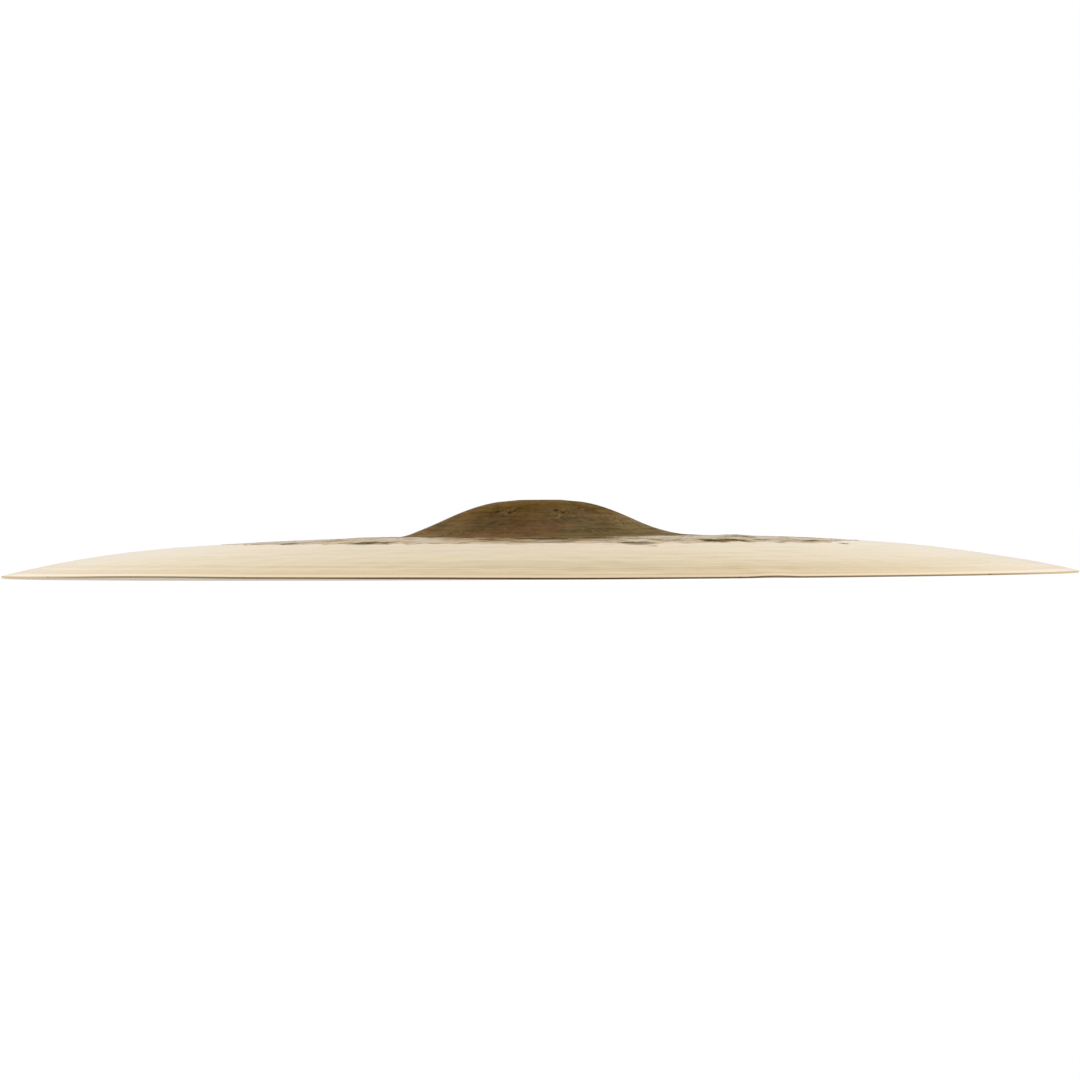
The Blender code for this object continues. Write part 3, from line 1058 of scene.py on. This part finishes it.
def edge_bronze(colours, patina, rim):
    """The dull edge of the rim, with a painted sheen that lightens it towards its two sides along X and most
    at the tips, and the wall of the hole.
    """
    material, graph, place = new_material("edge_bronze")
    marks = graph.use(patina, {"Vector": place, "Pitted": 0.0})
    side = graph.math("ABSOLUTE", graph.add("ShaderNodeSeparateXYZ", {0: place}).outputs["X"])
    # Painted sheen: lighter towards both sides along X and at the tips; blotches lighten it a little too.
    sheen_and_rub = graph.fade(side, 0.0, rim * EDGE_SHEEN_WHOLE)
    sheen_and_rub = graph.plus(sheen_and_rub, graph.times(marks["Blotch"], EDGE_BLOTCHES))
    sheen_and_rub = graph.plus(sheen_and_rub, graph.fade(side, rim * TIPS_FROM, rim * TIPS_WHOLE, 0.0, TIPS_SHARE))
    ground = graph.mix(sheen_and_rub, tuple(colours.edge), tuple(colours.turned_pale))
    values = {
        "Base Color": graph.mix(graph.times(marks["Mottle"], EDGE_MOTTLES), ground, tuple(colours.scale)),
        "Metallic": 1.0,
        "Roughness": graph.fade(marks["Blotch"], 0.0, 1.0, *EDGE_ROUGHNESS),
        "Specular Tint": SKIN_TINT,
    }
    close_material(graph, values, graph.noise(place, *EDGE_GRAIN), EDGE_BUMP)
    return material


# A face of the rim or the hole counts as upright below this share of its normal that points up.
UPRIGHT_BELOW = 0.8


def finish_disc(disc, sizes, colours, past_start):
    """Gives each face its finish, by where it lies, which way it faces and how far the lathe reached."""
    around = around_group()
    patina = patina_group()
    skin_tree = skin_group(colours, around, patina)
    turning = turning_group(around)
    rim = sizes.diameter / 2
    hole = sizes.hole_diameter / 2
    finishes = {
        "bell": raw_bronze("raw_bell_bronze", skin_tree, BELL_TINT),
        "bow": raw_bronze("raw_bow_bronze", skin_tree, SKIN_TINT),
        "turned": turned_bronze(colours, skin_tree, turning, around, rim),
        "edge": edge_bronze(colours, patina, rim),
    }
    mesh = disc.data
    mesh.materials.clear()
    for material in finishes.values():
        mesh.materials.append(material)
    slots = {name: index for index, name in enumerate(finishes)}
    for face in mesh.polygons:
        radius = face.center.xy.length
        at_an_edge = radius > rim - REST_WIDTH or radius < hole + MERGE
        if at_an_edge and face.normal.z < UPRIGHT_BELOW:
            face.material_index = slots["edge"]
        elif radius < sizes.bell_radius:
            face.material_index = slots["bell"]
        else:
            reached = max(past_start[corner] for corner in face.vertices) > -START_RAGGEDNESS
            face.material_index = slots["turned" if reached else "bow"]


class CYMBAL_OT_disc(Operator):
    """Turn, hammer and finish the bronze disc"""

    bl_idname = "cymbal.disc"
    bl_label = "Bronze Disc"
    bl_options = {"REGISTER", "UNDO"}

    def execute(self, context):
        sizes = context.scene.cymbal_sizes
        colours = context.scene.cymbal_colours
        top = top_profile(sizes)
        profile = top + rim_profile(sizes) + underside_profile(sizes)
        disc = turn_disc(profile)
        if len(disc.data.vertices) != len(profile) * ROUND_STEPS:
            raise RuntimeError("the disc's rings or its seam didn't close")
        unroll_map(disc.data, profile)
        past_start = hammer_disc(disc, sizes, profile, len(top))
        finish_disc(disc, sizes, colours, past_start)
        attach(disc, "root")
        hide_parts("cymbal")
        return {"FINISHED"}


# How much of the floor's light is its own where it is seen, and how strong that light is.
GLOW_SHARE = 0.3
GLOW_STRENGTH = 1.25


def floor_material(stage):
    """A dull pale floor that keeps the disc's shadow. Seen by the eye or in gloss, it also glows a little."""
    material, graph, _ = new_material("pale_floor")
    dull = graph.add("ShaderNodeBsdfDiffuse", {"Color": tuple(stage.floor_colour)}).outputs[0]
    glow = graph.add("ShaderNodeEmission", {"Strength": GLOW_STRENGTH}).outputs[0]
    rays = graph.add("ShaderNodeLightPath").outputs
    seen = graph.most(rays["Is Camera Ray"], rays["Is Glossy Ray"])
    share = graph.times(graph.most(seen, rays["Is Transmission Ray"]), GLOW_SHARE)
    surface = graph.add("ShaderNodeMixShader", {0: share, 1: dull, 2: glow}).outputs[0]
    graph.add("ShaderNodeOutputMaterial", {"Surface": surface})
    return material


# How high the world's zones in gloss reach, as the height of a direction one metre long.
HORIZON_ZONE = (0.0, 0.13)
RING_ZONE = (0.45, 0.66)
OVERHEAD_ZONE = (0.84, 0.95)
WHITE = (1.0, 1.0, 1.0, 1.0)


def make_world(stage):
    """White where the eye sees it, and a plain soft light on dull surfaces. In gloss it is a little grey at
    the horizon, white over it, and dark in a ring high up round a dimmer light overhead."""
    world = bpy.data.worlds.new("studio")
    world.use_nodes = True
    world.node_tree.nodes.clear()
    graph = Graph(world.node_tree)
    direction = graph.add("ShaderNodeTexCoord").outputs["Generated"]
    height = graph.add("ShaderNodeSeparateXYZ", {0: direction}).outputs["Z"]
    rays = graph.add("ShaderNodeLightPath").outputs
    in_gloss = graph.most(rays["Is Glossy Ray"], rays["Is Transmission Ray"])
    low = graph.fade(height, *HORIZON_ZONE, stage.horizon_light, 1.0)
    high = graph.fade(height, *OVERHEAD_ZONE, stage.ring_light, stage.overhead_light)
    gloss_light = graph.blend(graph.fade(height, *RING_ZONE), low, high)
    light = graph.blend(in_gloss, stage.world_light, gloss_light)
    light = graph.blend(rays["Is Camera Ray"], light, 1.0)
    background = graph.add("ShaderNodeBackground", {"Color": WHITE, "Strength": light}).outputs[0]
    graph.add("ShaderNodeOutputWorld", {"Surface": background})
    bpy.context.scene.world = world


# The lamps: (name, kind, place, power, a sun's angle or an area lamp's size).
LAMPS = (
    ("wide_key", "SUN", (-1.2, -1.0, 2.2), 0.42, math.radians(50)),
    ("wide_fill", "SUN", (1.3, 0.9, 2.4), 0.35, math.radians(44)),
    ("soft_box", "AREA", (0.9, -0.9, 1.9), 2.2, 0.9),
)


def add_lamp(name, kind, location, power, breadth):
    """A lamp that faces the cymbal."""
    bpy.ops.object.select_all(action="DESELECT")
    bpy.ops.object.light_add(type=kind, location=location)
    lamp = bpy.context.object
    lamp.name = lamp.data.name = name
    lamp.data.energy = power
    setattr(lamp.data, "angle" if kind == "SUN" else "size", breadth)
    lamp.rotation_euler = (-Vector(location)).to_track_quat("-Z", "Y").to_euler()


# In the photo's frame of 1080 by 1080 pixels: the disc's width, and how low the rim's middle stands.
PHOTO_SIDE = 1080
DISC_PIXELS = 1078
RIM_PIXEL_Y = 574.25
# The middle of the rim's edge, over the floor.
RIM_MIDDLE = 0.0004


def add_camera(stage, diameter):
    """Looks along +Y from just over the rim, far off, with the disc as wide as the frame."""
    distance = stage.camera_distance
    half_width = math.asin(diameter / 2 / distance)
    pixels = DISC_PIXELS / 2 / math.tan(half_width)
    below_axis = math.atan((RIM_PIXEL_Y - PHOTO_SIDE / 2) / pixels)
    height = RIM_MIDDLE + distance * math.tan(stage.camera_elevation)
    bpy.ops.object.select_all(action="DESELECT")
    bpy.ops.object.camera_add(location=(0.0, -distance, height))
    camera = bpy.context.object
    camera.name = camera.data.name = "camera"
    camera.data.lens = camera.data.sensor_width * pixels / PHOTO_SIDE
    pitch = math.pi / 2 - (stage.camera_elevation - below_axis)
    turned = Matrix.Rotation(pitch, 4, "X") @ Matrix.Rotation(-stage.camera_roll, 4, "Z")
    camera.rotation_euler = turned.to_euler()
    bpy.context.scene.camera = camera


class CYMBAL_OT_stage(Operator):
    """Set the floor, the lamps, the world and the camera"""

    bl_idname = "cymbal.stage"
    bl_label = "Stage"
    bl_options = {"REGISTER", "UNDO"}

    def execute(self, context):
        stage = context.scene.cymbal_stage
        bpy.ops.object.select_all(action="DESELECT")
        bpy.ops.mesh.primitive_plane_add(size=stage.floor_size)
        floor = context.object
        floor.name = floor.data.name = "floor"
        floor.data.materials.append(floor_material(stage))
        make_world(stage)
        for lamp in LAMPS:
            add_lamp(*lamp)
        add_camera(stage, context.scene.cymbal_sizes.diameter)
        context.scene.view_settings.view_transform = "Standard"
        return {"FINISHED"}


class CYMBAL_PT_panel(Panel):
    """Lists the operators with the settings that each reads"""

    bl_label = "Cymbal"
    bl_idname = "CYMBAL_PT_panel"
    bl_space_type = "VIEW_3D"
    bl_region_type = "UI"
    bl_category = "Cymbal"

    def draw(self, context):
        for operator, group in OPERATOR_GROUPS:
            self.layout.operator(operator)
            for name in group:
                settings = getattr(context.scene, name)
                for key in settings.bl_rna.properties.keys():
                    if key not in {"rna_type", "name"}:
                        self.layout.prop(settings, key)


OPERATOR_GROUPS = (
    (CYMBAL_OT_disc.bl_idname, ("cymbal_sizes", "cymbal_colours")),
    (CYMBAL_OT_stage.bl_idname, ("cymbal_stage",)),
)
CLASSES = (CymbalSizes, CymbalColours, CymbalStage, CYMBAL_OT_disc, CYMBAL_OT_stage, CYMBAL_PT_panel)


def register():
    for item in CLASSES:
        bpy.utils.register_class(item)
    bpy.types.Scene.cymbal_sizes = PointerProperty(type=CymbalSizes)
    bpy.types.Scene.cymbal_colours = PointerProperty(type=CymbalColours)
    bpy.types.Scene.cymbal_stage = PointerProperty(type=CymbalStage)


def unregister():
    del bpy.types.Scene.cymbal_stage
    del bpy.types.Scene.cymbal_colours
    del bpy.types.Scene.cymbal_sizes
    for item in reversed(CLASSES):
        bpy.utils.unregister_class(item)


def main():
    register()
    bpy.ops.cymbal.disc()
    bpy.ops.cymbal.stage()


if __name__ == "__main__":
    main()
